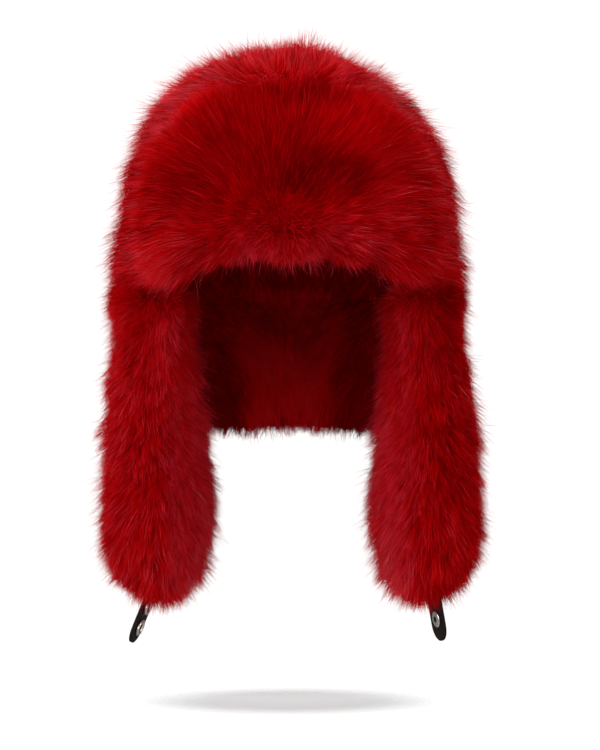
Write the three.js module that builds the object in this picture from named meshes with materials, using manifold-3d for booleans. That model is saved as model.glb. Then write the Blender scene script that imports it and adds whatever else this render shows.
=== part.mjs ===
// Aviator hat in deep red pile: a hollow cap, a turned-up brow flap, a nape curtain, and two hanging ear
// flaps that end in leather tabs with press studs.
// Millimetres, +Z up, the front towards -Y. The origin is where the top of the head meets the inside of
// the cap.

import * as THREE from "three";
import { mergeVertices } from "three/addons/utils/BufferGeometryUtils.js";
import Module from "manifold-3d";

const wasm = await Module();
wasm.setup();

// Driving dimensions of the cap
const HEAD_HALF_WIDTH = 90;
const HEAD_HALF_DEPTH = 105;
const HEAD_HEIGHT = 135;
const HEAD_ROUNDNESS = 2.4; // 2 would be an ellipse, and more is squarer
const RIM_LEVEL = -150; // lower edge of the cap at the sides and back
const WALL = 3;
const SEAM_GAP = 0.4; // between neighbouring pieces
const FIT_GAP = 0.3; // between a press stud or a tab and what it passes through

// Pile depths, measured from the inside of the cap
const PILE_ON_TOP = 38;
const PILE_AT_SIDES = 48;
const PILE_UNDER_BROW = 12;
const TUFT_RISE = 6; // how far the locks stand above the surface that they grow from
const LOCK_DEPTH = 3; // how far below it they are rooted

// Brow flap
const BROW_HALF_ANGLE = THREE.MathUtils.degToRad(68);
const BROW_TOP_LEVEL = -30;
const BROW_LOW_LEVEL = -135;
const BROW_CORNER_DROP = 14; // how much lower its lower corners are
const BROW_PANEL = 3;
const BROW_PILE = 35;
const BROW_SQUARENESS = 4;
const BROW_MARGIN = 0.05; // how far locks may pass its outline, as a share of its half width
const BROW_EDGE_PILE = 0.995; // the pile has no depth at its outline, so its edge locks grow just inside

// Nape curtain
const NAPE_END = THREE.MathUtils.degToRad(37);
const NAPE_WALL_BOTTOM = -235;
// Section of its pile from the outer top, round the lower edge, to the inner top. out is measured from the
// inside of the curtain's wall.
const NAPE_SECTION = [
  { out: 35, level: -150.4 },
  { out: 37, level: -185 },
  { out: 35, level: -225 },
  { out: 24, level: -246 },
  { out: 4, level: -254 },
  { out: -12, level: -249 },
  { out: -23, level: -232 },
  { out: -23, level: -190 },
  { out: -4, level: -156 },
];

// Ear flaps: sections of the pile, down from the root. front, rear, outer and inner reach from the middle of
// the flap, which lies beside from the hat's middle, turned by twist degrees. follow is 1 where the section
// keeps to the curve of the rim.
const FLAP_SECTIONS = [
  { down: 0, front: 46, rear: 50, outer: 42, inner: 1, beside: 91.5, twist: 0, follow: 1 },
  { down: 16, front: 54, rear: 52, outer: 42, inner: 17, beside: 94, twist: 2, follow: 0.9 },
  { down: 44, front: 60, rear: 53, outer: 41, inner: 25, beside: 97, twist: 6, follow: 0.5 },
  { down: 84, front: 63, rear: 54, outer: 39, inner: 28, beside: 96, twist: 12, follow: 0.1 },
  { down: 120, front: 64, rear: 58, outer: 39, inner: 29, beside: 95, twist: 17, follow: 0 },
  { down: 160, front: 64, rear: 64, outer: 41, inner: 32, beside: 95, twist: 20, follow: 0 },
  { down: 194, front: 60, rear: 60, outer: 40, inner: 31, beside: 96, twist: 22, follow: 0 },
  { down: 218, front: 47, rear: 47, outer: 33, inner: 26, beside: 98, twist: 22, follow: 0 },
  { down: 233, front: 27, rear: 27, outer: 20, inner: 17, beside: 101, twist: 22, follow: 0 },
];
const FLAP_TIP_DOWN = 239;
const FLAP_MIDDLE_Y = 8;
const FLAP_SQUARENESS = 2.6;
const FLAP_TOP = RIM_LEVEL - SEAM_GAP;
const FLAP_SIDES = [
  { name: "left", side: -1, further: 0, studs: ["upper", "lower"] },
  { name: "right", side: 1, further: 5, studs: ["only"] },
];

// Leather tabs and press studs
const TAB_WIDTH = 24;
const TAB_LENGTH = 46;
const TAB_THICKNESS = 2;
// Where a tab's top is, how far the tab leans out, and how far it is turned to show its face.
const TAB_PLACES = {
  left: { beside: 102.6, top: -378.3, slant: 22, turn: 15 },
  right: { beside: 108.7, top: -374.5, slant: 10, turn: 21 },
};
const STUD_PLACES = { upper: 16, lower: 33, only: 29 }; // down the tab from its top
const STUD_POST_RADIUS = 1.8;
const STUD_SIDES = 12;

const COLOURS = { pile: 0x8c0008, lining: 0x4a0006, leather: 0x231e1e, steel: 0xd7cdc8 };

const { lerp, smoothstep, degToRad } = THREE.MathUtils;
const QUARTER = Math.PI / 2;

// Solids

// Makes one solid from closed rings of points. A ring of one point is a pole, and every stack starts and
// ends with one.
function skin(rings) {
  const points = rings.flat();
  const faces = [];
  let first = 0;
  for (let i = 0; i + 1 < rings.length; i++) {
    const near = rings[i].length;
    const far = rings[i + 1].length;
    for (let j = 0; j < Math.max(near, far); j++) {
      const a = first + (j % near);
      const b = first + ((j + 1) % near);
      const c = first + near + (j % far);
      const d = first + near + ((j + 1) % far);
      if (near > 1) faces.push(a, b, d);
      if (far > 1) faces.push(a, d, c);
    }
    first += near;
  }
  return solidFrom(points, faces);
}

// The rings may run either way round, so the faces are turned where they come out facing inwards.
function solidFrom(points, faces) {
  const vertProperties = new Float32Array(points.flatMap((p) => p.toArray()));
  const made = new wasm.Manifold(
    new wasm.Mesh({ numProp: 3, vertProperties, triVerts: new Uint32Array(faces) }),
  );
  return made.volume() < 0 ? solidFrom(points, faces.toReversed()) : made;
}

function solidOfGeometry(geometry) {
  geometry.deleteAttribute("normal");
  geometry.deleteAttribute("uv");
  const merged = mergeVertices(geometry, 1e-3);
  return new wasm.Manifold(
    new wasm.Mesh({
      numProp: 3,
      vertProperties: new Float32Array(merged.attributes.position.array),
      triVerts: new Uint32Array(merged.index.array),
    }),
  );
}

function meshOf(name, solid, material) {
  const mesh = solid.getMesh();
  const geometry = new THREE.BufferGeometry();
  geometry.setAttribute("position", new THREE.BufferAttribute(mesh.vertProperties, 3));
  geometry.setIndex(new THREE.BufferAttribute(mesh.triVerts, 1));
  const made = new THREE.Mesh(geometry, material);
  made.name = name;
  return made;
}

// The inside of the cap

// A point there and its outward normal. turn is the angle round Z from +X.
function capFrame(turn, level) {
  const rise = Math.max(0, 1 + level / HEAD_HEIGHT);
  const reach = (1 - rise ** HEAD_ROUNDNESS) ** (1 / HEAD_ROUNDNESS);
  const point = new THREE.Vector3(
    HEAD_HALF_WIDTH * reach * Math.cos(turn),
    HEAD_HALF_DEPTH * reach * Math.sin(turn),
    level,
  );
  const steepness = reach ** (HEAD_ROUNDNESS - 1);
  const normal = new THREE.Vector3(
    (steepness * Math.cos(turn)) / HEAD_HALF_WIDTH,
    (steepness * Math.sin(turn)) / HEAD_HALF_DEPTH,
    rise ** (HEAD_ROUNDNESS - 1) / HEAD_HEIGHT,
  );
  return { point, normal: normal.normalize() };
}

function capPoint(turn, level, out) {
  const { point, normal } = capFrame(turn, level);
  return point.addScaledVector(normal, out);
}

// The level at which the inside slopes by this angle, from 0 on top to a quarter turn at the upright wall.
function levelAtSlope(slope) {
  return HEAD_HEIGHT * (Math.cos(slope) ** (2 / HEAD_ROUNDNESS) - 1);
}

// Where a place of the cap lies on the brow flap: across and up are 0 in its middle and 1 at its outline.
function browPlace(turn, level) {
  const fromFront = Math.atan2(Math.cos(turn), -Math.sin(turn));
  const across = fromFront / BROW_HALF_ANGLE;
  const low = browLowLevel(across);
  const up = (2 * (level - low)) / (BROW_TOP_LEVEL - low) - 1;
  return { across, up };
}

// The lower edge of the brow flap, arched over the face and lower from temple to corner.
function browLowLevel(across) {
  const [temple, corner] = [0.42, 0.78];
  return BROW_LOW_LEVEL - BROW_CORNER_DROP * smoothstep(Math.abs(across), temple, corner);
}

// The lower edge of the cap, which follows the brow flap's and is level from the flap's ends to the back.
function rimLevel(turn) {
  const [leave, level] = [0.7, 1.05];
  const { across } = browPlace(turn, RIM_LEVEL);
  return lerp(browLowLevel(across), RIM_LEVEL, smoothstep(Math.abs(across), leave, level));
}

// Cap

const CAP_TURNS = 24;
const CAP_SLOPES = [13, 30, 46, 60, 74].map(degToRad);
const CAP_LAST_LEVEL = -132; // the last row above the rim
const DOME_LEVELS = 45; // how far down the pile goes on growing deeper

function capRing(row, outAt) {
  return Array.from({ length: CAP_TURNS }, (_, i) => {
    const turn = (i / CAP_TURNS) * 2 * Math.PI;
    const level = row === "rim" ? rimLevel(turn) : row;
    return capPoint(turn, level, outAt(turn, level));
  });
}

// A shell between two distances from the inside of the cap.
function capShell(innerAt, outerAt) {
  const rows = [...CAP_SLOPES.map(levelAtSlope), CAP_LAST_LEVEL, "rim"];
  const inner = rows.map((row) => capRing(row, innerAt));
  const outer = rows.map((row) => capRing(row, outerAt));
  const innerTop = [capPoint(0, 0, innerAt(0, 0))];
  const outerTop = [capPoint(0, 0, outerAt(0, 0))];
  return skin([outerTop, ...outer, ...inner.toReversed(), innerTop]);
}

function capPile(turn, level) {
  const open = lerp(PILE_ON_TOP, PILE_AT_SIDES, smoothstep(-level, 0, DOME_LEVELS)) - TUFT_RISE;
  const { across, up } = browPlace(turn, level);
  const [browEdge, fullDepth] = [1, 1.2];
  const outsideBrow = smoothstep(Math.max(Math.abs(across), up), browEdge, fullDepth);
  return lerp(PILE_UNDER_BROW, open, outsideBrow);
}

// Locks

// A steady stand-in for chance, from 0 to 1, so that the locks differ but come out the same each time.
function chance(seed) {
  const wave = Math.sin(seed * 12.9898) * 43758.5453;
  return wave - Math.floor(wave);
}

// One lock of pile: four-sided, rooted below the surface, and leaning along the flow to a raised point.
function lock(root, out, flow, length, width, rise) {
  const lean = flow.clone().addScaledVector(out, -flow.dot(out)).normalize();
  const side = out.clone().cross(lean);
  const at = (along, across, up) =>
    root
      .clone()
      .addScaledVector(lean, along * length)
      .addScaledVector(side, across * width)
      .addScaledVector(out, up);
  const corners = [[-0.35, 0], [-0.05, 0.5], [0.35, 0], [-0.05, -0.5]];
  const base = corners.map(([along, across]) => at(along, across, -LOCK_DEPTH));
  return skin([[at(0, 0, -LOCK_DEPTH)], base, [at(0.6, 0, rise)]]);
}

// Grows locks over a surface, a function of two places whose steps, crossed, point outwards. Each spot has
// its place and the step from there along which its lock lies.
function locksOn(surface, spots, length, width) {
  const step = 1e-3;
  return spots.map(({ place, flow }, i) => {
    const [a, b] = place;
    const root = surface(a, b);
    const alongA = surface(a + step, b).sub(surface(a - step, b));
    const alongB = surface(a, b + step).sub(surface(a, b - step));
    const out = alongA.clone().cross(alongB).normalize();
    const lean = alongA.multiplyScalar(flow[0]).addScaledVector(alongB, flow[1]);
    const size = 0.85 + 0.3 * chance(i + 1);
    return lock(root, out, lean, length * size, width * size, TUFT_RISE * size);
  });
}

// Spots in staggered rows. Each row has its place, and the number of spots in a full round of it.
function staggered(rows, from, to, spotAt) {
  return rows.flatMap(({ row, count }, i) =>
    Array.from({ length: count }, (_, j) => {
      const shift = (i % 2) * 0.5 + 0.3 * (chance(31 * i + j) - 0.5);
      return spotAt(row, lerp(from, to, (j + 0.5 + 0.5 * shift) / count));
    }),
  );
}

// The space that the brow flap may fill, over the cap's thin pile
const BROW_SIDES = 24;
const BROW_SPACE_REACH = 90;

function browOutline(reach) {
  return Array.from({ length: BROW_SIDES }, (_, i) => {
    const angle = (i / BROW_SIDES) * 2 * Math.PI;
    const square = (value) => Math.sign(value) * Math.abs(value) ** (2 / BROW_SQUARENESS);
    return [reach * square(Math.cos(angle)), reach * square(Math.sin(angle))];
  });
}

function browPoint(across, up, out) {
  const low = browLowLevel(across);
  const level = lerp(low, BROW_TOP_LEVEL, (up + 1) / 2);
  return capPoint(across * BROW_HALF_ANGLE - QUARTER, level, out);
}

function browSpace(margin) {
  const ring = (reach, out) => browOutline(reach).map(([across, up]) => browPoint(across, up, out));
  const edge = 1 + BROW_MARGIN + margin / BROW_SPACE_REACH;
  const under = PILE_UNDER_BROW + SEAM_GAP - margin;
  const inner = [0.35, 0.7, 1, edge].map((reach) => ring(reach, under));
  const outer = [edge, 0.7, 0.35].map((reach) => ring(reach, BROW_SPACE_REACH));
  return skin([[browPoint(0, 0, under)], ...inner, ...outer, [browPoint(0, 0, BROW_SPACE_REACH)]]);
}

function browPile(reach) {
  return BROW_PILE * (1 - Math.min(1, reach) ** 3) ** 0.45 - TUFT_RISE * (1 - reach ** 3);
}

function browFlap() {
  const under = PILE_UNDER_BROW + SEAM_GAP;
  const ring = (reach, out) => browOutline(reach).map(([across, up]) => browPoint(across, up, out));
  const face = (reach) => under + BROW_PANEL + Math.max(0, browPile(reach));
  const outer = [0.35, 0.62, 0.82, 0.94, 1].map((reach) => ring(reach, face(reach)));
  const inner = [1, 0.7, 0.35].map((reach) => ring(reach, under));
  const panel = skin([[browPoint(0, 0, face(0))], ...outer, ...inner, [browPoint(0, 0, under)]]);

  const surface = (across, up) => {
    const sum = Math.abs(across) ** BROW_SQUARENESS + Math.abs(up) ** BROW_SQUARENESS;
    return browPoint(across, up, face(Math.min(sum ** (1 / BROW_SQUARENESS), BROW_EDGE_PILE)));
  };
  const rows = [
    { row: 0.25, count: 4 },
    { row: 0.52, count: 9 },
    { row: 0.75, count: 13 },
    { row: 0.93, count: 17 },
  ];
  const spots = staggered(rows, 0, 2 * Math.PI, (reach, angle) => {
    const across = reach * Math.cos(angle);
    const up = reach * Math.sin(angle);
    return { place: [across, up], flow: [Math.cos(angle), 2.2 * Math.sin(angle)] };
  });
  const locks = locksOn(surface, spots, 42, 30);
  return wasm.Manifold.union([panel, ...locks]).intersect(browSpace(0));
}

// What is left of a cut solid once its offcuts are gone.
function mainBody(solid) {
  return solid.decompose().reduce((best, body) => (body.volume() > best.volume() ? body : best));
}

function capPileSolid() {
  const shell = capShell(() => WALL + SEAM_GAP, capPile);
  const surface = (slope, turn) => {
    const level = levelAtSlope(slope);
    return capPoint(turn, level, capPile(turn, level));
  };
  const rows = [
    { row: degToRad(8), count: 3 },
    { row: degToRad(27), count: 8 },
    { row: degToRad(46), count: 12 },
    { row: degToRad(64), count: 15 },
    { row: degToRad(82), count: 17 },
  ];
  const downhill = (slope, turn) => ({ place: [slope, turn], flow: [1, 0] });
  const spots = staggered(rows, 0, 2 * Math.PI, downhill);
  const clearOfBrow = spots.filter(({ place: [slope, turn] }) => {
    const { across, up } = browPlace(turn, levelAtSlope(slope));
    return Math.abs(across) > 1 + BROW_MARGIN || up > 1 + BROW_MARGIN;
  });
  const locks = locksOn(surface, clearOfBrow, 50, 38);
  const open = wasm.Manifold.union([shell, ...locks]).subtract(browSpace(SEAM_GAP));
  return mainBody(open.trimByPlane([0, 0, 1], RIM_LEVEL));
}

// Nape curtain

const NAPE_STATIONS = 9;

function napeTurn(share) {
  return lerp(NAPE_END, Math.PI - NAPE_END, share);
}

// A curtain on the rim's curve with this closed section of out and level.
function curtain(section) {
  const rings = Array.from({ length: NAPE_STATIONS + 1 }, (_, i) =>
    section.map(({ out, level }) => capPoint(napeTurn(i / NAPE_STATIONS), level, out)),
  );
  const flat = section.map(({ out, level }) => new THREE.Vector2(out, level));
  const ends = THREE.ShapeUtils.triangulateShape(flat, []);
  const count = section.length;
  const faces = [];
  for (let i = 0; i < NAPE_STATIONS; i++) {
    for (let j = 0; j < count; j++) {
      const a = i * count + j;
      const b = i * count + ((j + 1) % count);
      faces.push(a, b, b + count, a, b + count, a + count);
    }
  }
  const clockwise = THREE.ShapeUtils.isClockWise(flat);
  const last = NAPE_STATIONS * count;
  for (const [a, b, c] of ends) {
    if (clockwise) {
      faces.push(a, b, c, last + a, last + c, last + b);
    } else {
      faces.push(a, c, b, last + a, last + b, last + c);
    }
  }
  return solidFrom(rings.flat(), faces);
}

function napeWall() {
  const top = RIM_LEVEL - SEAM_GAP;
  return curtain([
    { out: 0, level: top },
    { out: WALL, level: top },
    { out: WALL, level: NAPE_WALL_BOTTOM },
    { out: 0, level: NAPE_WALL_BOTTOM },
  ]);
}

// The upright plane between the curtain and the ear flap on a side. It trims what is passed to it to the
// part behind the plane, or to the part in front of it.
function trimAtNapeEnd(solid, side, keep) {
  const { point, normal } = capFrame(side > 0 ? NAPE_END : Math.PI - NAPE_END, RIM_LEVEL);
  const backwards = new THREE.Vector3(-normal.y, normal.x, 0).multiplyScalar(side);
  const distance = backwards.dot(point);
  if (keep === "behind") return solid.trimByPlane(backwards.toArray(), distance);
  return solid.trimByPlane(backwards.negate().toArray(), SEAM_GAP - distance);
}

function napePile() {
  const below = NAPE_WALL_BOTTOM - SEAM_GAP;
  const shell = curtain([
    ...NAPE_SECTION,
    { out: -4, level: RIM_LEVEL - SEAM_GAP },
    { out: -SEAM_GAP, level: RIM_LEVEL - SEAM_GAP },
    { out: -SEAM_GAP, level: below },
    { out: WALL + SEAM_GAP, level: below },
    { out: WALL + SEAM_GAP, level: RIM_LEVEL - SEAM_GAP },
  ]);
  const surface = (along, share) => {
    const i = Math.min(Math.floor(along), NAPE_SECTION.length - 2);
    const from = NAPE_SECTION[i];
    const to = NAPE_SECTION[i + 1];
    const level = lerp(from.level, to.level, along - i);
    return capPoint(napeTurn(share), level, lerp(from.out, to.out, along - i));
  };
  const outside = [
    { row: 0.4, count: 7 },
    { row: 1.2, count: 7 },
    { row: 2.1, count: 7 },
    { row: 3.4, count: 7 },
  ];
  const inside = [
    { row: 5.7, count: 5 },
    { row: 6.6, count: 5 },
  ];
  const spotsDown = (rows, flow) => staggered(rows, 0, 1, (row, share) => ({ place: [row, share], flow }));
  const locks = [
    ...locksOn(surface, spotsDown(outside, [1, 0]), 44, 34),
    ...locksOn(surface, spotsDown(inside, [-1, 0]), 38, 27),
  ];
  const joined = wasm.Manifold.union([shell, ...locks]);
  const solid = trimAtNapeEnd(trimAtNapeEnd(joined, 1, "behind"), -1, "behind");
  return solid.subtract(napeSlot()).trimByPlane([0, 0, -1], -RIM_LEVEL + SEAM_GAP);
}

// The slot in the pile that holds the curtain's wall.
function napeSlot() {
  const above = RIM_LEVEL + 10;
  return curtain([
    { out: -SEAM_GAP, level: above },
    { out: WALL + SEAM_GAP, level: above },
    { out: WALL + SEAM_GAP, level: NAPE_WALL_BOTTOM - SEAM_GAP },
    { out: -SEAM_GAP, level: NAPE_WALL_BOTTOM - SEAM_GAP },
  ]);
}

// Ear flaps

const FLAP_FACETS = 16;

// The section table's values at any distance down from the root.
function flapSection(down) {
  const last = FLAP_SECTIONS.length - 2;
  const i = Math.min(FLAP_SECTIONS.findLastIndex((row) => row.down <= Math.max(0, down)), last);
  const from = FLAP_SECTIONS[i];
  const to = FLAP_SECTIONS[i + 1];
  const share = (down - from.down) / (to.down - from.down);
  const values = Object.keys(from).map((key) => [key, lerp(from[key], to[key], share)]);
  return Object.fromEntries(values);
}

// A point of a flap's surface. angle runs round the section from its rear edge over its outer face.
function flapPoint({ side, further }, angle, down) {
  const { front, rear, outer, inner, beside, twist, follow } = flapSection(down);
  const round = (value, plus, minus) =>
    Math.sign(value) * Math.abs(value) ** (2 / FLAP_SQUARENESS) * (value > 0 ? plus : minus);
  const along = round(Math.cos(angle), rear, front);
  const out = round(Math.sin(angle), outer, inner);
  const turned = degToRad(twist);
  const shift = further * smoothstep(down, 0, 60);
  const free = new THREE.Vector3(
    beside + shift + out * Math.cos(turned) - along * Math.sin(turned),
    FLAP_MIDDLE_Y + along * Math.cos(turned) + out * Math.sin(turned),
    0,
  );
  const onRim = Math.asin((FLAP_MIDDLE_Y + along) / HEAD_HALF_DEPTH);
  const point = free.lerp(capPoint(onRim, RIM_LEVEL, WALL / 2 + out), follow);
  return new THREE.Vector3(side * point.x, point.y, FLAP_TOP - down);
}

function flapPile(flap) {
  const angles = Array.from({ length: FLAP_FACETS }, (_, i) => (i / FLAP_FACETS) * 2 * Math.PI);
  const ring = ({ down }) => angles.map((angle) => flapPoint(flap, angle, down));
  const middle = (down) => {
    const points = ring({ down });
    const sum = points.reduce((total, point) => total.add(point), new THREE.Vector3());
    return sum.divideScalar(points.length);
  };
  const tip = middle(FLAP_SECTIONS.at(-1).down).setZ(FLAP_TOP - FLAP_TIP_DOWN);
  const body = skin([[middle(0)], ...FLAP_SECTIONS.map(ring), [tip]]);

  const surface = (angle, down) => flapPoint(flap, flap.side * angle, down);
  const rows = [
    { row: 18, count: 6 },
    { row: 56, count: 7 },
    { row: 94, count: 7 },
    { row: 132, count: 7 },
    { row: 170, count: 7 },
    { row: 205, count: 6 },
  ];
  const spots = staggered(rows, 0, 2 * Math.PI, (down, angle) => {
    const awayFromFront = -0.012 * Math.sin(flap.side * angle) * flap.side;
    return { place: [angle, down], flow: [awayFromFront, 1] };
  });
  const locks = locksOn(surface, spots, 48, 38).map((made, i) =>
    spots[i].place[1] < NAPE_CLEAR_DOWN ? trimAtNapeEnd(made, flap.side, "in front") : made,
  );
  const solid = wasm.Manifold.union([body, ...locks]);
  return solid.subtract(tabSlot(flap)).trimByPlane([0, 0, -1], -FLAP_TOP);
}

// How far down a flap its locks have to keep clear of the nape curtain.
const NAPE_CLEAR_DOWN = 112;

// Tabs

// The axes of a tab: its width, its length downwards and its thickness towards the hat's inside.
function tabMatrix({ name, side }) {
  const { beside, top } = TAB_PLACES[name];
  const slant = degToRad(TAB_PLACES[name].slant);
  const turn = degToRad(TAB_PLACES[name].turn);
  const width = new THREE.Vector3(-side * Math.sin(turn), Math.cos(turn), 0);
  const length = new THREE.Vector3(side * Math.sin(slant), 0, -Math.cos(slant));
  const inward = width.clone().cross(length).normalize();
  if (inward.x * side > 0) inward.negate();
  width.crossVectors(length, inward).normalize();
  const place = new THREE.Vector3(side * beside, FLAP_MIDDLE_Y, top);
  return new THREE.Matrix4().makeBasis(width, length, inward).setPosition(place);
}

// A strip with a round lower end. Its outline is drawn with the length along +Y.
function tabOutline(spread) {
  const half = TAB_WIDTH / 2 + spread;
  const roundAt = TAB_LENGTH - TAB_WIDTH / 2;
  const outline = new THREE.Shape();
  outline.moveTo(half, -spread);
  outline.lineTo(half, roundAt);
  outline.absarc(0, roundAt, half, 0, Math.PI, false);
  outline.lineTo(-half, -spread);
  outline.closePath();
  return outline;
}

function strip(flap, outline, thickness) {
  const geometry = new THREE.ExtrudeGeometry(outline, {
    depth: thickness,
    bevelEnabled: false,
    curveSegments: 7,
  });
  geometry.translate(0, 0, -thickness / 2);
  return solidOfGeometry(geometry.applyMatrix4(tabMatrix(flap)));
}

function tab(flap) {
  const outline = tabOutline(0);
  for (const stud of flap.studs) {
    const hole = new THREE.Path();
    hole.absarc(0, STUD_PLACES[stud], STUD_POST_RADIUS + FIT_GAP, 0, 2 * Math.PI, true);
    outline.holes.push(hole);
  }
  return strip(flap, outline, TAB_THICKNESS);
}

function tabSlot(flap) {
  const studBoss = flap.studs.map((stud) => {
    const { radius, height } = STUD_ROOM;
    const room = new THREE.CylinderGeometry(radius, radius, height, STUD_SIDES);
    room.rotateX(QUARTER).translate(0, STUD_PLACES[stud], 0);
    return solidOfGeometry(room.applyMatrix4(tabMatrix(flap)));
  });
  return wasm.Manifold.union([
    strip(flap, tabOutline(FIT_GAP), TAB_THICKNESS + 2 * FIT_GAP),
    ...studBoss,
  ]);
}

// Press studs: profiles of radius and height, where the leather's middle is height 0 and the face that shows
// is above it.
const STUD_ROOM = { radius: 7.6, height: 8 };
const FACE = TAB_THICKNESS / 2 + FIT_GAP;
const STUD_BACK = [
  [0, -FACE - 1.7],
  [4.6, -FACE - 1.5],
  [6.2, -FACE - 0.8],
  [6.2, -FACE],
  [STUD_POST_RADIUS, -FACE],
  [STUD_POST_RADIUS, FACE],
];
const SOCKET_FACE = [
  [6.6, FACE],
  [6.6, FACE + 0.9],
  [5.8, FACE + 1.9],
  [4.4, FACE + 1.7],
  [3.8, FACE + 0.6],
  [0, FACE + 0.6],
];
const RIVET_FACE = [
  [6.2, FACE],
  [5.9, FACE + 0.7],
  [2.2, FACE + 1.0],
  [1.4, FACE + 0.3],
  [0, FACE + 0.3],
];

function stud(flap, place, face) {
  const profile = [...STUD_BACK, ...face].map(([radius, height]) => new THREE.Vector2(radius, height));
  const geometry = new THREE.LatheGeometry(profile, STUD_SIDES);
  geometry.rotateX(QUARTER).translate(0, STUD_PLACES[place], 0);
  return solidOfGeometry(geometry.applyMatrix4(tabMatrix(flap)));
}

// Assembly

const material = (color, roughness, metalness) =>
  new THREE.MeshStandardMaterial({ color, roughness, metalness, flatShading: true });
const pile = material(COLOURS.pile, 0.85, 0);
const lining = material(COLOURS.lining, 0.9, 0);
const leather = material(COLOURS.leather, 0.5, 0);
const steel = material(COLOURS.steel, 0.3, 1);

const hat = new THREE.Group();
hat.add(meshOf("crown_wall", capShell(() => 0, () => WALL), lining));
hat.add(meshOf("crown_fur", capPileSolid(), pile));
hat.add(meshOf("brow_flap", browFlap(), pile));
hat.add(meshOf("nape_wall", napeWall(), lining));
hat.add(meshOf("nape_fur", napePile(), pile));
for (const flap of FLAP_SIDES) {
  hat.add(meshOf(`ear_flap_${flap.name}`, flapPile(flap), pile));
  hat.add(meshOf(`tab_${flap.name}`, tab(flap), leather));
  for (const place of flap.studs) {
    const face = place === "only" ? RIVET_FACE : SOCKET_FACE;
    const name = place === "only" ? `snap_${flap.name}` : `snap_${flap.name}_${place}`;
    hat.add(meshOf(name, stud(flap, place, face), steel));
  }
}

export default hat;
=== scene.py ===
import math

import bpy
import numpy as np
from mathutils import Matrix, Vector
from mathutils.bvhtree import BVHTree
from mathutils.kdtree import KDTree


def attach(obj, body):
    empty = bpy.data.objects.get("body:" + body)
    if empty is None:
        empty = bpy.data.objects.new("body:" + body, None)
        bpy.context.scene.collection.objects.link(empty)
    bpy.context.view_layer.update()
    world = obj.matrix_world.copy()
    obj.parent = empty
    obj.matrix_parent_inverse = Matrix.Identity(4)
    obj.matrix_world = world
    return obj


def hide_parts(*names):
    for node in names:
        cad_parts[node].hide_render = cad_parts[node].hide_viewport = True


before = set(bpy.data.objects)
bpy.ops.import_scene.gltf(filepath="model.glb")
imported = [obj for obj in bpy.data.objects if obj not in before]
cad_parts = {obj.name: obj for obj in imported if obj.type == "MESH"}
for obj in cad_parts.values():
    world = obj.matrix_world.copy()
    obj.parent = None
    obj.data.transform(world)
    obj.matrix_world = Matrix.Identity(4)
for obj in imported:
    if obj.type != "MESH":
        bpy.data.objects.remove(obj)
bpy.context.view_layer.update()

# Lengths are metres, in the frame of the solids. The hat hangs free above the floor.
FLOOR_LEVEL = -0.4645

# How far the underfur lies below the locks of the solids, and the most of a thin place that this may take
UNDERFUR_DEPTH = 0.0085
UNDERFUR_SHARE = 0.3
UNDERFUR_GRAIN = 0.006


# Materials


class Signal:
    """A value that changes over a surface. Sums on it add Math nodes."""

    def __init__(self, finish, socket):
        self.finish = finish
        self.socket = socket

    def worked(self, operation, *values):
        inputs = dict(enumerate(values))
        return self.finish.node("ShaderNodeMath", {"operation": operation}, inputs)

    def part(self, index):
        return Signal(self.finish, self.socket.node.outputs[index])

    def __add__(self, other):
        return self.worked("ADD", self, other)

    def __sub__(self, other):
        return self.worked("SUBTRACT", self, other)

    def __rsub__(self, other):
        return self.worked("SUBTRACT", other, self)

    def __mul__(self, other):
        return self.worked("MULTIPLY", self, other)

    def __pow__(self, other):
        return self.worked("POWER", self, other)

    __radd__ = __add__
    __rmul__ = __mul__


class Finish:
    """A material made of one Principled surface. Its constants go on that surface's own sockets."""

    def __init__(self, name, **constants):
        self.material = bpy.data.materials.new(name)
        self.material.use_nodes = True
        self.tree = self.material.node_tree
        self.surface = self.tree.nodes["Principled BSDF"]
        for name, value in constants.items():
            self.surface.inputs[name.replace("_", " ")].default_value = value

    def node(self, kind, settings=None, inputs=None):
        made = self.tree.nodes.new(kind)
        for name, value in (settings or {}).items():
            if name == "stops":
                self.set_stops(made.color_ramp, value)
            else:
                setattr(made, name, value)
        for name, value in (inputs or {}).items():
            if isinstance(value, Signal):
                self.tree.links.new(value.socket, made.inputs[name])
            else:
                made.inputs[name].default_value = value
        return Signal(self, made.outputs[0])

    @staticmethod
    def set_stops(ramp, stops):
        while len(ramp.elements) < len(stops):
            ramp.elements.new(1)
        for element, (position, tint) in zip(ramp.elements, stops):
            element.position = position
            element.color = tint

    def mix(self, share, first, second):
        made = self.node("ShaderNodeMix", {"data_type": "RGBA"}, {0: share, 6: first, 7: second})
        return made.part(2)

    def ramp(self, value, *stops):
        return self.node("ShaderNodeValToRGB", {"stops": stops}, {"Fac": value})

    def place(self, stretch=(1, 1, 1)):
        """The point of the surface, in metres, with each axis stretched."""
        spot = self.node("ShaderNodeTexCoord").part(3)
        return self.node("ShaderNodeMapping", {}, {"Vector": spot, "Scale": stretch})

    def noise(self, place, scale, detail=2.0, roughness=0.5):
        inputs = {"Vector": place, "Scale": scale, "Detail": detail, "Roughness": roughness}
        return self.node("ShaderNodeTexNoise", {}, inputs)

    def bump(self, height, depth, strength=1.0):
        inputs = {"Height": height, "Distance": depth, "Strength": strength}
        return self.node("ShaderNodeBump", {}, inputs)

    def feed(self, **links):
        for name, value in links.items():
            self.tree.links.new(value.socket, self.surface.inputs[name.replace("_", " ")])

    def let_light_through(self, share, tint):
        """Makes thin fibres glow when light falls on their far side."""
        thin = self.node("ShaderNodeBsdfTranslucent", {}, {"Color": tint})
        face = Signal(self, self.surface.outputs[0])
        both = self.node("ShaderNodeMixShader", {}, {0: share, 1: face, 2: thin})
        self.tree.links.new(both.socket, self.tree.nodes["Material Output"].inputs["Surface"])


def colour(red, green, blue):
    return (red, green, blue, 1.0)


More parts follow.
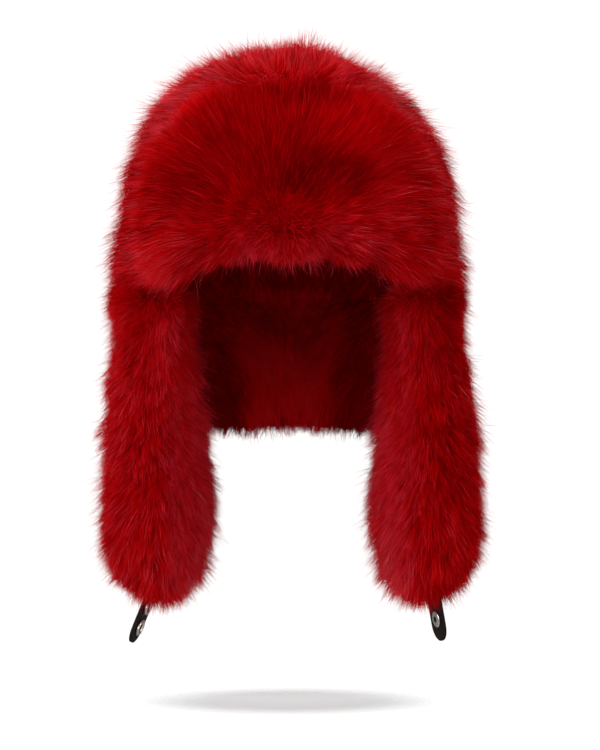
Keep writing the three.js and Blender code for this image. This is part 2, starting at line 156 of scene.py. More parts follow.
PILE_ROOT = colour(0.24, 0.0001, 0.0004)
PILE_SHADE = colour(0.12, 0.0001, 0.0003)
PILE_BODY = colour(0.46, 0.0002, 0.0008)
PILE_TIP_DEEP = colour(0.56, 0.0004, 0.0020)
# Painted sheen: the bright pink that lit hair tips show
PILE_TIP_PAINTED_SHEEN = colour(0.96, 0.0600, 0.1150)
PILE_GLOW = colour(0.80, 0.0004, 0.0020)


def hair_finish():
    """Hair that is dark at the root. Its map gives each hair's tone across, its own tone with painted
    light, shade and sheen in it, and its length up.
    """
    hair = Finish("pile_hair", Roughness=0.6, Specular_IOR_Level=0.0, Coat_Roughness=0.3)
    spot = hair.node("ShaderNodeUVMap", {"uv_map": "OFBake"})
    split = hair.node("ShaderNodeSeparateXYZ", {}, {"Vector": spot})
    tone, along = split.part(0), split.part(1)
    tip_stops = (0.0, PILE_SHADE), (0.42, PILE_TIP_DEEP), (0.75, PILE_TIP_DEEP), (1.0, PILE_TIP_PAINTED_SHEEN)
    tip = hair.ramp(tone, *tip_stops)
    body = hair.ramp(tone, (0.0, PILE_SHADE), (0.42, PILE_BODY))
    foot = hair.ramp(tone, (0.0, PILE_SHADE), (0.30, PILE_ROOT))
    lit = hair.mix(along ** 1.6, body, tip)
    hair.feed(
        Base_Color=hair.mix(along ** 0.5, foot, lit),
        Coat_Weight=(tone ** 3.0) * 0.55,
    )
    hair.let_light_through((tone ** 0.5) * 0.5, PILE_GLOW)
    return hair.material


def underfur_finish():
    """The short wool under the hair, in fine tufts."""
    wool = Finish("pile_underfur", Roughness=0.95, Specular_IOR_Level=0.02)
    tufts = wool.noise(wool.place((1, 1, 0.35)), 420, 4.0, 0.65)
    patches = wool.noise(wool.place(), 60, 2.0)
    depth = tufts * 0.7 + patches * 0.3
    wool.feed(
        Base_Color=wool.ramp(
            depth,
            (0.30, colour(0.180, 0.0001, 0.0003)),
            (0.50, colour(0.260, 0.0001, 0.0005)),
            (0.72, colour(0.360, 0.0002, 0.0008)),
        ),
        Normal=wool.bump(depth, 0.004),
    )
    return wool.material


def backing_finish():
    """The knitted back of the pile cloth, on the inside of the cap."""
    cloth = Finish("knitted_backing", Roughness=0.9, Specular_IOR_Level=0.02)
    place = cloth.place()
    settings = {"wave_type": "BANDS", "bands_direction": "Z"}
    rows = cloth.node("ShaderNodeTexWave", settings, {"Vector": place, "Scale": 260.0, "Distortion": 1.5})
    loops = cloth.noise(place, 900, 2.0)
    shade = cloth.noise(place, 35, 2.0)
    height = rows.part(1) * 0.6 + loops * 0.4
    cloth.feed(
        Base_Color=cloth.ramp(
            height * 0.5 + shade * 0.5,
            (0.25, colour(0.060, 0.0002, 0.0008)),
            (0.75, colour(0.160, 0.0006, 0.0020)),
        ),
        Normal=cloth.bump(height, 0.0005),
    )
    return cloth.material


# Pile

TAPER = {1: (1.0,), 2: (0.9, 0.8)}  # width at the foot of each straight part, by how many a hair has
SIZE_LIMITS = (0.6, 1.35)
WIDTH_LIMITS = (0.7, 1.3)
TONE_SPAN = 0.003  # how far a hair's map is from one edge to the other
LOCK_ACROSS = 0.045  # how far apart the pile's slow drifts are
STRAY = 0.6  # how far hairs that are not combed lean every way
SAG = 0.15  # how far a hair's way droops at its tip

# How chance moves a hair's size, tilt, turn and tone: with its tress, by itself, and in slow drifts
SIZE, TILT, TURN, TONE = range(4)
CHANCE = {
    SIZE: (0.15, 0.15, 0.0),
    TILT: (0.10, 0.14, 0.16),
    TURN: (0.6, 0.5, 1.0),
    TONE: (0.20, 0.28, 0.20),
}

# Hairs that stand out of the pile: how far they rise, in radians, how much longer they are, and how much
# their tone is raised as a painted glint
WILD_RISE = 0.35
WILD_LENGTH = 1.2
WILD_PAINTED_GLINT = 0.3

# The range of the other hairs' tones, and how much brighter than its upper end painted sheen may make a
# hair
DEEPEST_TONE = 0.02
PLAIN_TONE = 0.46
PAINTED_SHEEN_RANGE = 0.52

MOST_PULL = 1.6  # of lively pile over the usual one
CALM_WIDTH = 0.4  # of a hair in quite even pile over the usual one

# The three coats. A hair bends from the first lean to the second, in degrees from upright.
COATS = {
    "down": {"steps": 1, "length": 0.0135, "heed": 1.0, "lean": (38, 60), "pull": 0.10, "curl": 14,
             "wild": 0.0, "width": 0.00052, "tone": (0.42, 0.5)},
    "locks": {"steps": 2, "length": 0.0185, "heed": 0.7, "lean": (32, 66), "pull": 0.42, "curl": 24,
              "wild": 0.0, "width": 0.00040, "tone": (0.50, 0.6)},
    "guard": {"steps": 2, "length": 0.0200, "heed": 0.5, "lean": (28, 56), "pull": 0.04, "curl": 22,
              "wild": 0.14, "width": 0.00027, "tone": (0.90, 0.35)},
}
HAIRS_IN_TRESS = {"down": 26, "locks": 30, "guard": 12}


def unit(vectors):
    return vectors / np.maximum(np.linalg.norm(vectors, axis=-1, keepdims=True), 1e-9)


def dot(first, second):
    return (first * second).sum(axis=-1)


def read(items, key, width, kind=np.float64):
    values = np.empty(len(items) * width, dtype=kind)
    items.foreach_get(key, values)
    return values.reshape(-1, width)


def smooth(values, low, high):
    share = np.clip((values - low) / (high - low), 0, 1)
    return share * share * (3 - 2 * share)


def patch(root, x, z, wide, high):
    """1 round a place on the front or back, by its x and z, and 0 beyond this far from it."""
    return 1 - smooth(np.hypot((root[:, 0] - x) / wide, (root[:, 2] - z) / high), 0.4, 1.1)


def full(root, out):
    """The pile's usual measure, of its play from hair to hair or of its painted sheen."""
    return np.ones(len(root))


def scatter(body, count, thickness, rng):
    """Roots over a body's faces, as thick as thickness says, and the way out of the body at each."""
    mesh = body.data
    mesh.calc_loop_triangles()
    corners = read(mesh.loop_triangles, "vertices", 3, np.int32)
    places = read(mesh.vertices, "co", 3)
    ways = read(mesh.vertices, "normal", 3)
    a, b, c = (places[corners[:, i]] for i in range(3))
    area = np.linalg.norm(np.cross(b - a, c - a), axis=1) / 2
    weight = area * thickness((a + b + c) / 3, unit(ways[corners].mean(axis=1)))
    picked = rng.choice(len(area), count, p=weight / weight.sum())
    first, second = rng.random((2, count))
    over = first + second > 1
    first[over], second[over] = 1 - first[over], 1 - second[over]
    shares = np.stack([1 - first - second, first, second], axis=1)[:, :, None]
    at = corners[picked]
    return (places[at] * shares).sum(axis=1), unit((ways[at] * shares).sum(axis=1))


def drift(places, across, seed):
    """A smooth random value at each place, mostly from -1 to 1, with swells about this far across."""
    rng = np.random.default_rng(seed)
    waves = unit(rng.normal(size=(5, 3))) * math.tau / across
    return 1.4 * np.sin(places @ waves.T + rng.uniform(0, math.tau, 5)).mean(axis=1)


def trace(root, out, flow, steps, length, tilt, turn):
    """The points of hairs that start at tilt[0] from upright and lie down to tilt[1], along the flow."""
    side = np.cross(out, flow)
    points = [root]
    for step in range(steps):
        share = (step + 0.5) / steps
        lean = (tilt[0] + (tilt[1] - tilt[0]) * share)[:, None]
        aside = (turn * share)[:, None]
        heading = np.cos(aside) * flow + np.sin(aside) * side
        way = np.cos(lean) * out + np.sin(lean) * heading
        way[:, 2] -= SAG * share
        points.append(points[-1] + unit(way) * length[:, None] / steps)
    return np.stack(points, axis=1)


def comb(body, lay, hairs, tresses, seed, steps, length, heed, lean, pull, curl, wild, width, tone):
    """One coat of hair on a body. The hairs of a tress lean alike and draw together to its tip.

    The lay holds the body's own rules, as functions of the roots and the ways out there: flow is the way
    that hair lies, thickness how much there is of it, reach how long it is, light how much painted light
    or shade its tone takes, play how much it varies, and painted_sheen how far painted sheen may brighten
    it.
    heed is how far the coat's length follows the reach, and wild is the share of its hairs that stand out
    of the pile."""
    rng = np.random.default_rng(seed)
    root, out = scatter(body, hairs, lay["thickness"], rng)
    flow = lay["flow"](root, out)
    flow = flow - out * dot(flow, out)[:, None]
    pace = np.linalg.norm(flow, axis=1, keepdims=True)
    stray = rng.normal(size=root.shape)
    stray = unit(stray - out * dot(stray, out)[:, None])
    flow = flow / np.maximum(pace, 1) + STRAY * np.maximum(1 - pace, 0) * stray

    play = lay["play"](root, out)
    calm = np.minimum(play, 1)
    tree = KDTree(tresses)
    for i in range(tresses):
        tree.insert(root[i], i)
    tree.balance()
    tress = np.array([tree.find(spot)[1] for spot in root])

    shared = rng.normal(size=(4, tresses))[:, tress]
    own = rng.normal(size=(4, hairs))

    def chance(kind, together=1.0):
        by_tress, by_hair, by_drift = CHANCE[kind]
        swell = drift(root, LOCK_ACROSS, kind)
        return by_tress * together * shared[kind] + by_hair * own[kind] + by_drift * swell

    stands_out = rng.random(hairs) < wild * calm ** 2
    size = np.clip(np.exp(chance(SIZE)), *SIZE_LIMITS) * lay["reach"](root, out) ** heed
    size *= np.where(stands_out, WILD_LENGTH, 1)
    tilt = np.radians(lean)[:, None] + chance(TILT) - WILD_RISE * stands_out
    turn = math.radians(curl) * chance(TURN, calm)
    points = trace(root, out, flow, steps, length * size, tilt, turn)

    along = np.linspace(0, 1, steps + 1)[None, :, None]
    gather = pull * np.minimum(play, MOST_PULL)[:, None, None] * along ** 1.3
    points += gather * (points[tress] - points)

    level, spread = tone
    # A hair's tone: its own chance, plus the lay's painted light and shade
    shade = level + spread * chance(TONE, play) * play + lay["light"](root, out)
    plain = np.clip(shade, DEEPEST_TONE, PLAIN_TONE + PAINTED_SHEEN_RANGE * lay["painted_sheen"](root, out))
    breadth = np.where(stands_out, 1, CALM_WIDTH + (1 - CALM_WIDTH) * calm)
    return {
        "steps": steps,
        "points": points,
        "out": out,
        "tone": np.where(stands_out, np.clip(shade + WILD_PAINTED_GLINT, 0, 1), plain),
        "roll": rng.uniform(-1.0, 1.0, hairs),
        "width": width * np.clip(size, *WIDTH_LIMITS) * breadth,
    }


def blades(coat):
    """The corners of a coat's flat, tapering hairs."""
    steps, points = coat["steps"], coat["points"]
    roll = coat["roll"][:, None]
    edges = []
    for step in range(steps):
        way = unit(points[:, step + 1] - points[:, max(step - 1, 0)])
        side = unit(np.cross(way, coat["out"]))
        up = np.cross(side, way)
        across = side * np.cos(roll) + up * np.sin(roll)
        half = across * (coat["width"] * TAPER[steps][step] / 2)[:, None]
        edges += [points[:, step] - half, points[:, step] + half]
    return np.stack(edges + [points[:, steps]], axis=1)


def hair_mesh(name, coats):
    """Joins coats of hair into one mesh, with the map that their finish reads."""
    places, corners, starts, spots = [], [], [], []
    vertex_count, corner_count = 0, 0
    for coat in coats:
        steps, count = coat["steps"], len(coat["points"])
        hair = 2 * steps + 1
        pattern = [[2 * i, 2 * i + 1, 2 * i + 3, 2 * i + 2] for i in range(steps - 1)]
        pattern.append([hair - 3, hair - 2, hair - 1])
        flat = np.array(sum(pattern, []))
        face_starts = np.cumsum([0] + [len(face) for face in pattern[:-1]])
        each = np.arange(count)[:, None]
        places.append(blades(coat).reshape(-1, 3))
        corners.append((flat[None, :] + hair * each + vertex_count).ravel())
        starts.append((face_starts[None, :] + len(flat) * each + corner_count).ravel())
        right = np.append(np.arange(hair - 1) % 2, 0.5)
        height = np.append(np.repeat(np.arange(steps), 2), steps) / steps
        u = coat["tone"][:, None] + TONE_SPAN * (right[flat] - 0.5)[None, :]
        v = np.broadcast_to(0.01 + 0.98 * height[flat][None, :], u.shape)
        spots.append(np.stack([u, v], axis=-1).reshape(-1, 2))
        vertex_count += count * hair
        corner_count += count * len(flat)
    places, corners, starts, spots = (np.concatenate(rows) for rows in (places, corners, starts, spots))

    mesh = bpy.data.meshes.new(name)
    mesh.vertices.add(len(places))
    mesh.vertices.foreach_set("co", places.astype(np.float32).ravel())
    mesh.loops.add(len(corners))
    mesh.loops.foreach_set("vertex_index", corners.astype(np.int32))
    mesh.polygons.add(len(starts))
    mesh.polygons.foreach_set("loop_start", starts.astype(np.int32))
    mesh.polygons.foreach_set("use_smooth", np.ones(len(starts), dtype=bool))
    layer = mesh.uv_layers.new(name="OFBake")
    layer.data.foreach_set("uv", spots.astype(np.float32).ravel())
    mesh.update(calc_edges=True)
    mesh.validate()
    piece = bpy.data.objects.new(name, mesh)
    bpy.context.scene.collection.objects.link(piece)
    return piece


def grow(name, body, lay, seed, down, locks, guard):
    """The whole pile of a body: a dense short coat, longer locks in it, and fine hairs above them."""
    coats = []
    for kind, hairs in (("down", down), ("locks", locks), ("guard", guard)):
        tresses = hairs // HAIRS_IN_TRESS[kind]
        coats.append(comb(body, lay, hairs, tresses, seed + len(coats), **COATS[kind]))
    return hair_mesh(name, coats)


def only(piece):
    bpy.ops.object.select_all(action="DESELECT")
    piece.select_set(True)
    bpy.context.view_layer.objects.active = piece


def copy_of(name, *nodes):
    """A new piece with the merged meshes of CAD nodes."""
    parts = []
    for node in nodes:
        part = bpy.data.objects.new(name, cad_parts[node].data.copy())
        bpy.context.scene.collection.objects.link(part)
        parts.append(part)
    only(parts[0])
    for part in parts:
        part.select_set(True)
    if len(parts) > 1:
        bpy.ops.object.join()
    piece = bpy.context.object
    piece.data.name = name
    bpy.ops.object.mode_set(mode="EDIT")
    bpy.ops.mesh.select_all(action="SELECT")
    bpy.ops.mesh.remove_doubles(threshold=1e-5)
    bpy.ops.object.mode_set(mode="OBJECT")
    piece.data.materials.clear()
    return piece


def modify(piece, kind, **settings):
    only(piece)
    modifier = piece.modifiers.new(kind.lower(), kind)
    for name, value in settings.items():
        setattr(modifier, name, value)
    bpy.ops.object.modifier_apply(modifier=modifier.name)


def underfur(name, open_side, *nodes):
    """The soft mass under the hair: the solids' own form, rounded, and sunk below their locks where it is
    open. open_side is 1 where nothing lies against it, by place and way out, and 0 at a seam."""
    mass = copy_of(name, *nodes)
    modify(mass, "REMESH", mode="VOXEL", voxel_size=UNDERFUR_GRAIN)
    modify(mass, "SMOOTH", factor=0.5, iterations=6)
    places = read(mass.data.vertices, "co", 3)
    ways = read(mass.data.vertices, "normal", 3)
    tree = BVHTree.FromObject(mass, bpy.context.evaluated_depsgraph_get())
    thick = np.full(len(places), 1.0)
    for i, (place, way) in enumerate(zip(places, ways)):
        start = Vector(place) - Vector(way) * 1e-4
        distance = tree.ray_cast(start, -Vector(way))[3]
        if distance is not None:
            thick[i] = distance
    depth = np.minimum(UNDERFUR_DEPTH, UNDERFUR_SHARE * thick) * open_side(places, ways)
    mass.data.vertices.foreach_set("co", (places - ways * depth[:, None]).ravel())
    modify(mass, "REMESH", mode="VOXEL", voxel_size=UNDERFUR_GRAIN)
    modify(mass, "SMOOTH", factor=0.5, iterations=4)
    bpy.ops.object.shade_smooth()
    return mass


def finished(piece, material, slot, *stands_for):
    piece.data.materials.clear()
    piece.data.materials.append(material)
    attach(piece, "root")
    if stands_for:
        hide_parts(*stands_for)


hair_material = hair_finish()
underfur_material = underfur_finish()
backing_material = backing_finish()


# Crown: hair stands back from the brow, and lies down at the sides and back

AXIS_FOOT = np.array([0, 0, -0.06])
BROW_HALF_ANGLE = math.radians(68)


def outward(root, out):
    return dot(out, unit(root - AXIS_FOOT))


def sideways(root, out):
    """1 where the way out points away from the hat's upright axis, and -1 where it points in."""
    return dot(out, unit(root * [1, 1, 0]))


def around_brow(root):
    """How far round a place is from the middle of the brow flap, where 1 is the flap's end."""
    return np.abs(np.arctan2(root[:, 0], -root[:, 1])) / BROW_HALF_ANGLE


def crown_flow(root, out):
    x, y, z = root.T
    back = np.stack([x, np.full(len(x), 0.07), np.full(len(x), 0.0)], axis=1)
    down = np.stack([0.5 * x, 0.7 * y, np.full(len(x), -0.09)], axis=1)
    flow = unit(down + (back - down) * smooth(-y, -0.02, 0.06)[:, None])
    return flow * (1 - 0.45 * smooth(z, -0.03, 0.02))[:, None]


def crown_open(root, out):
    at_rim = smooth(-root[:, 2], 0.125, 0.145)
    return smooth(outward(root, out), 0.1, 0.4) * (1 - smooth(-out[:, 2], 0.4, 0.7)) * (1 - 0.6 * at_rim)


def crown_thickness(root, out):
    hidden = (around_brow(root) < 0.9) & (root[:, 2] < -0.045)
    return smooth(outward(root, out), 0.0, 0.3) * np.where(hidden, 0.05, 1.0)


def crown_reach(root, out):
    """Shorter on top, at the back and at the right shoulder, and long at the left one."""
    x, y, z = root.T
    top = smooth(z, -0.01, 0.015)
    back = smooth(y, 0.09, 0.13)
    left = smooth(-x, 0.035, 0.065) * smooth(z, -0.045, -0.015)
    right = smooth(x, 0.020, 0.060) * smooth(z, -0.045, -0.015)
    return 1 - 0.22 * top - 0.20 * back + 0.42 * left - 0.22 * right


def crown_light(root, out):
    """Painted light on top, and painted shade down the sides."""
    top = smooth(root[:, 2], -0.02, 0.02) * (0.5 + 0.5 * smooth(np.abs(root[:, 0] - 0.01), 0.0, 0.06))
    sides = smooth(np.abs(root[:, 0]), 0.085, 0.110) * smooth(-root[:, 2], 0.010, 0.040)
    return 0.10 + 0.20 * top - 0.24 * sides


def crown_play(root, out):
    """Livelier on top."""
    return 1 + 0.9 * smooth(root[:, 2], -0.04, 0.0)


crown_lay = {"flow": crown_flow, "thickness": crown_thickness, "reach": crown_reach, "light": crown_light,
             "play": crown_play, "painted_sheen": full}
crown = underfur("crown_underfur", crown_open, "crown_fur")
crown_hair = grow("crown_hair", crown, crown_lay, 11, down=80000, locks=18000, guard=19500)


# Brow flap: hair parts low on the flap, fans up and out above that, and falls over the face below it

PARTING = (-0.008, -0.121)


def brow_flow(root, out):
    x, y, z = root.T
    aside = x - PARTING[0]
    up = z - PARTING[1]
    end = smooth(np.abs(x), 0.06, 0.10)
    rise = np.where(up > 0, 1.0 - end, 2.2) * up - 0.03 * end
    way = unit(np.stack([aside, 0.09 * end, rise], axis=1))
    reach = np.hypot(aside / 0.07, up / np.where(up > 0, 0.07, 0.025))
    return way * smooth(reach, -0.1, 1.0)[:, None]


def brow_open(root, out):
    return smooth(sideways(root, out), -0.3, 0.1)


def brow_thickness(root, out):
    return smooth(sideways(root, out), -0.5, 0.0)


def brow_reach(root, out):
    """Short where the flap's lower edge hangs over the face, and long at its lower corners."""
    below = smooth(-out[:, 2], 0.2, 0.8)
    corner = smooth(around_brow(root), 0.32, 0.5)
    low = smooth(-root[:, 2], 0.105, 0.13)
    left = patch(root, -0.075, -0.135, 0.025, 0.030)
    return 1 - 0.45 * below * (1 - corner) + 0.45 * corner * low + 0.35 * left


def brow_light(root, out):
    """Painted shade in the flap's middle, at its ends and along its right side, and painted light at its
    left shoulder, right of the middle and low down.
    """
    x, y, z = root.T
    shoulder = smooth(0.9 * z - x, 0.022, 0.044) * smooth(z, -0.050, -0.025)
    corner = smooth(-x, 0.050, 0.090) * smooth(-z, 0.110, 0.130)
    right = smooth(x, 0.055, 0.100) * smooth(-z, 0.005, 0.045)
    middle = patch(root, -0.005, -0.050, 0.105, 0.065)
    streak = patch(root, 0.042, -0.048, 0.028, 0.028)
    hollow = patch(root, 0.024, -0.084, 0.034, 0.028)
    top = patch(root, 0.008, -0.014, 0.050, 0.020)
    lower_middle = patch(root, 0.005, -0.114, 0.055, 0.024)
    left_end = patch(root, -0.105, -0.080, 0.042, 0.050)
    low_left = patch(root, -0.075, -0.090, 0.040, 0.028)
    right_end = patch(root, 0.116, -0.085, 0.028, 0.075)
    lit = 0.34 * shoulder + 0.28 * corner + 0.32 * lower_middle + 0.14 * streak
    painted_shade = 0.32 * middle + 0.18 * hollow + 0.24 * left_end + 0.18 * low_left + 0.14 * top
    return lit - painted_shade - 0.32 * right - 0.34 * right_end


def brow_painted_sheen(root, out):
    """Hardly any painted sheen in the middle of the flap and at its left end."""
    middle = patch(root, 0.002, -0.052, 0.094, 0.064)
    left_end = patch(root, -0.100, -0.080, 0.045, 0.045)
    return 1 - np.maximum(middle, 0.8 * left_end)


def brow_play(root, out):
    """Even in the middle of the flap, and lively at its left shoulder."""
    x, y, z = root.T
    middle = patch(root, 0, -0.060, 0.11, 0.065)
    shoulder = smooth(-x, 0.045, 0.085) * smooth(z, -0.070, -0.040)
    return 1 - 0.75 * middle + 0.9 * shoulder


brow_lay = {"flow": brow_flow, "thickness": brow_thickness, "reach": brow_reach, "light": brow_light,
            "play": brow_play, "painted_sheen": brow_painted_sheen}
brow = underfur("brow_underfur", brow_open, "brow_flap")
brow_hair = grow("brow_hair", brow, brow_lay, 21, down=92000, locks=21500, guard=10000)


# Nape curtain: hair hangs down inside and out


def nape_flow(root, out):
    return np.tile([0.0, 0.0, -1.0], (len(root), 1))


def nape_open(root, out):
    return 0.3 + 0.7 * smooth(np.abs(sideways(root, out)), 0.4, 0.8)


def nape_thickness(root, out):
    return smooth(-out[:, 2], -0.9, -0.6) * (1 + 0.5 * smooth(-root[:, 2], 0.230, 0.245))


def nape_reach(root, out):
    return 1 - 0.25 * smooth(-out[:, 2], 0.2, 0.8)


def nape_play(root, out):
    return 1 + 0.6 * smooth(-root[:, 2], 0.225, 0.245)


def nape_light(root, out):
    """Painted shade at the lower edge and on the inside beside the ear flaps, and painted light on the
    inside between them, most up high.
    """
    inside = smooth(-sideways(root, out), 0.0, 0.4)
    beside = smooth(np.abs(root[:, 0]), 0.015, 0.055)
    edge = smooth(-root[:, 2], 0.238, 0.250)
    top = smooth(root[:, 2], -0.230, -0.180)
    return inside * (0.34 + 0.60 * top - 1.22 * beside) - 0.42 * edge


def nape_painted_sheen(root, out):
    """Little painted sheen on the inside."""
    return 1 - 0.36 * smooth(-sideways(root, out), 0.0, 0.4)


nape_lay = {"flow": nape_flow, "thickness": nape_thickness, "reach": nape_reach, "light": nape_light,
            "play": nape_play, "painted_sheen": nape_painted_sheen}
nape = underfur("nape_underfur", nape_open, "nape_fur", "nape_wall")
nape_hair = grow("nape_hair", nape, nape_lay, 31, down=72000, locks=18000, guard=7500)


# Ear flaps: hair parts at the edges, and lies down and away from the parting

FLAP_MIDDLE = {"left": -0.098, "right": 0.102}
FLAP_MIDDLE_Y = 0.008


def flap_flow(side):
    def flow(root, out):
        x, y, z = root.T
        aside = (x - FLAP_MIDDLE[side]) / 0.040
        along = (y - FLAP_MIDDLE_Y) / 0.075
        way = np.stack([aside, along, np.full(len(x), -1.1)], axis=1)
        upright = np.maximum(smooth(-out[:, 2], 0.5, 1.0), smooth(z, -0.185, -0.155))
        return unit(way) * (1 - 0.6 * upright)[:, None]
    return flow


def flap_open(root, out):
    return (1 - smooth(out[:, 2], 0.3, 0.6)) * (1 - 0.6 * smooth(root[:, 2], -0.175, -0.160))


def flap_thickness(root, out):
    outer_top = smooth(sideways(root, out), 0.2, 0.6) * smooth(root[:, 2], -0.185, -0.165)
    return smooth(-out[:, 2], -0.9, -0.7) * (1 + outer_top)


def flap_reach(root, out):
    """Short on the sides low down and beside the face high up, and long at the inner lower corner."""
    low = smooth(np.abs(out[:, 0]), 0.4, 0.9) * smooth(-root[:, 2], 0.19, 0.24)
    beside_face = smooth(-sideways(root, out), 0.0, 0.5) * smooth(root[:, 2], -0.250, -0.180)
    outer_top = smooth(sideways(root, out), 0.2, 0.6) * smooth(root[:, 2], -0.230, -0.190)
    outer_top *= np.where(root[:, 0] > 0, 1.0, 0.6)
    corner = smooth(-sideways(root, out), -0.2, 0.3) * smooth(-root[:, 2], 0.345, 0.370)
    outer_corner = smooth(sideways(root, out), 0.2, 0.6) * smooth(-root[:, 2], 0.345, 0.370)
    reach = (1 - 0.22 * low) * (1 - 0.55 * beside_face) * (1 - 0.45 * outer_top)
    return reach * (1 + 0.45 * corner - 0.25 * outer_corner)


def flap_light(root, out):
    """Painted light on the sides that face the opening, low down, at the inner edges, and on the left
    flap's outer side and top;
    painted shade under the brow flap, on the outer side of the right flap, and high up on the sides that
    face the opening."""
    x, y, z = root.T
    within = -sideways(root, out)
    inner_front = 1 - smooth(np.abs(np.abs(x) - 0.080), 0.005, 0.020)
    painted_light_facing_in = smooth(within, 0.2, 0.8) * smooth(-z, 0.20, 0.26) + np.where(x > 0, 1.3, 0.9) * inner_front
    shaded = smooth(within, 0.5, 0.95) * smooth(z, -0.270, -0.215)
    inner_edge = (1 - smooth(x, 0.056, 0.072)) * smooth(x, 0.0, 0.02)
    outer_left = smooth(-x, 0.105, 0.120)
    left_top = patch(root, -0.088, -0.195, 0.024, 0.055)
    lit = 0.28 * np.minimum(painted_light_facing_in, 1.3) + 0.10 * outer_left + 0.24 * inner_edge + 0.16 * left_top
    painted_shade = 0.25 * smooth(z, -0.172, -0.158) + 0.20 * smooth(x, 0.095, 0.115)
    return 0.06 + lit - 0.40 * shaded - painted_shade


flaps = {}
for i, side in enumerate(FLAP_MIDDLE):
    lay = {"flow": flap_flow(side), "thickness": flap_thickness, "reach": flap_reach, "light": flap_light,
           "play": full, "painted_sheen": full}
    mass = underfur(f"ear_flap_{side}_underfur", flap_open, f"ear_flap_{side}")
    hair = grow(f"ear_flap_{side}_hair", mass, lay, 41 + 10 * i, down=92000, locks=21500, guard=10000)
    flaps[side] = (mass, hair)

finished(crown, underfur_material, "pile", "crown_fur")
finished(crown_hair, hair_material, "pile")
finished(brow, underfur_material, "pile", "brow_flap")
finished(brow_hair, hair_material, "pile")
finished(nape, underfur_material, "pile", "nape_fur", "nape_wall")
finished(nape_hair, hair_material, "pile")
for side, (mass, hair) in flaps.items():
    finished(mass, underfur_material, "pile", f"ear_flap_{side}")
    finished(hair, hair_material, "pile")


# Lining, and fur turned in over the rim, so that no seam shows behind the face


def rim_thickness(root, out):
    inside = smooth(-sideways(root, out), 0.0, 0.3) + smooth(-root[:, 2], 0.145, 0.148)
    return inside * smooth(root[:, 1], -0.02, 0.03) * smooth(-root[:, 2], 0.085, 0.135)


def rim_reach(root, out):
    return np.full(len(root), 0.85)


# Painted shade on the turned-in hair, with painted light at its lowest edge in the middle
def rim_light(root, out):
    return -0.56 + 0.72 * smooth(-root[:, 2], 0.140, 0.150) * (1 - smooth(np.abs(root[:, 0]), 0.01, 0.05))


lining = copy_of("crown_lining", "crown_wall")
modify(lining, "SUBSURF", levels=1, render_levels=1)
bpy.ops.object.shade_smooth()
rim_lay = {"flow": nape_flow, "thickness": rim_thickness, "reach": rim_reach, "light": rim_light,
           "play": full, "painted_sheen": nape_painted_sheen}
rim_hair = grow("rim_hair", lining, rim_lay, 61, down=14000, locks=6000, guard=1000)
finished(lining, backing_material, "lining", "crown_wall")
finished(rim_hair, hair_material, "pile")


# Tabs: where the top of each is, and in degrees how far it leans out and is turned to show its face

TABS = {
    "left": {"sign": -1, "beside": 0.1026, "top": -0.3783, "slant": 22, "turn": 15},
    "right": {"sign": 1, "beside": 0.1087, "top": -0.3745, "slant": 10, "turn": 21},
}


def tab_frame(side):
    """The axes of a tab: its width, its length downwards and its thickness towards the hat's inside."""
    place = TABS[side]
    sign = place["sign"]
    slant = math.radians(place["slant"])
    turn = math.radians(place["turn"])
    width = Vector((-sign * math.sin(turn), math.cos(turn), 0))
    length = Vector((sign * math.sin(slant), 0, -math.cos(slant)))
    inward = width.cross(length).normalized()
    if inward.x * sign > 0:
        inward.negate()
    width = length.cross(inward).normalized()
    axes = Matrix((width, length, inward)).transposed().to_4x4()
    return Matrix.Translation((sign * place["beside"], FLAP_MIDDLE_Y, place["top"])) @ axes


def leather_finish():
    """Black leather with a fine grain, browner and smoother where it is rubbed."""
    skin = Finish("tab_leather", Roughness=0.5, Specular_IOR_Level=0.05)
    place = skin.place()
    edges = {"feature": "DISTANCE_TO_EDGE"}
    cells = skin.node("ShaderNodeTexVoronoi", edges, {"Vector": place, "Scale": 1100.0})
    worn = skin.noise(place, 130, 3.0)
    fine = skin.noise(place, 2600, 2.0)
    grain = skin.ramp(cells, (0.0, colour(0, 0, 0)), (0.22, colour(1, 1, 1)))
    skin.feed(
        Base_Color=skin.mix(worn, colour(0.004, 0.003, 0.002), colour(0.012, 0.008, 0.006)),
        Roughness=0.72 - worn * 0.3,
        Normal=skin.bump(grain * 0.7 + fine * 0.3, 0.00012),
    )
    return skin.material


def nickel_finish():
    """Nickel plate with the fine lines of its polishing and a few dull spots."""
    plate = Finish("snap_nickel", Metallic=1.0, Roughness=0.3)
    place = plate.place()
    lines = plate.noise(plate.place((1, 1, 14)), 900, 2.0)
    dull = plate.noise(place, 400, 3.0)
    plate.feed(
        Base_Color=plate.mix(dull, colour(0.62, 0.59, 0.56), colour(0.44, 0.40, 0.37)),
        Roughness=0.18 + dull * 0.25,
        Normal=plate.bump(lines, 0.00004),
    )
    return plate.material


leather_material = leather_finish()
nickel_material = nickel_finish()

for side in TABS:
    tab = copy_of(f"tab_{side}_leather", f"tab_{side}")
    bpy.ops.object.mode_set(mode="EDIT")
    bpy.ops.mesh.select_all(action="SELECT")
    bpy.ops.mesh.dissolve_limited(angle_limit=math.radians(2))
    bpy.ops.object.mode_set(mode="OBJECT")
    modify(tab, "BEVEL", width=0.0004, segments=3, limit_method="ANGLE", angle_limit=math.radians(50))
    bpy.ops.object.shade_smooth_by_angle(angle=math.radians(40))
    finished(tab, leather_material, "leather", f"tab_{side}")


# Press studs: profiles of radius and height in millimetres, where the leather's middle is height 0

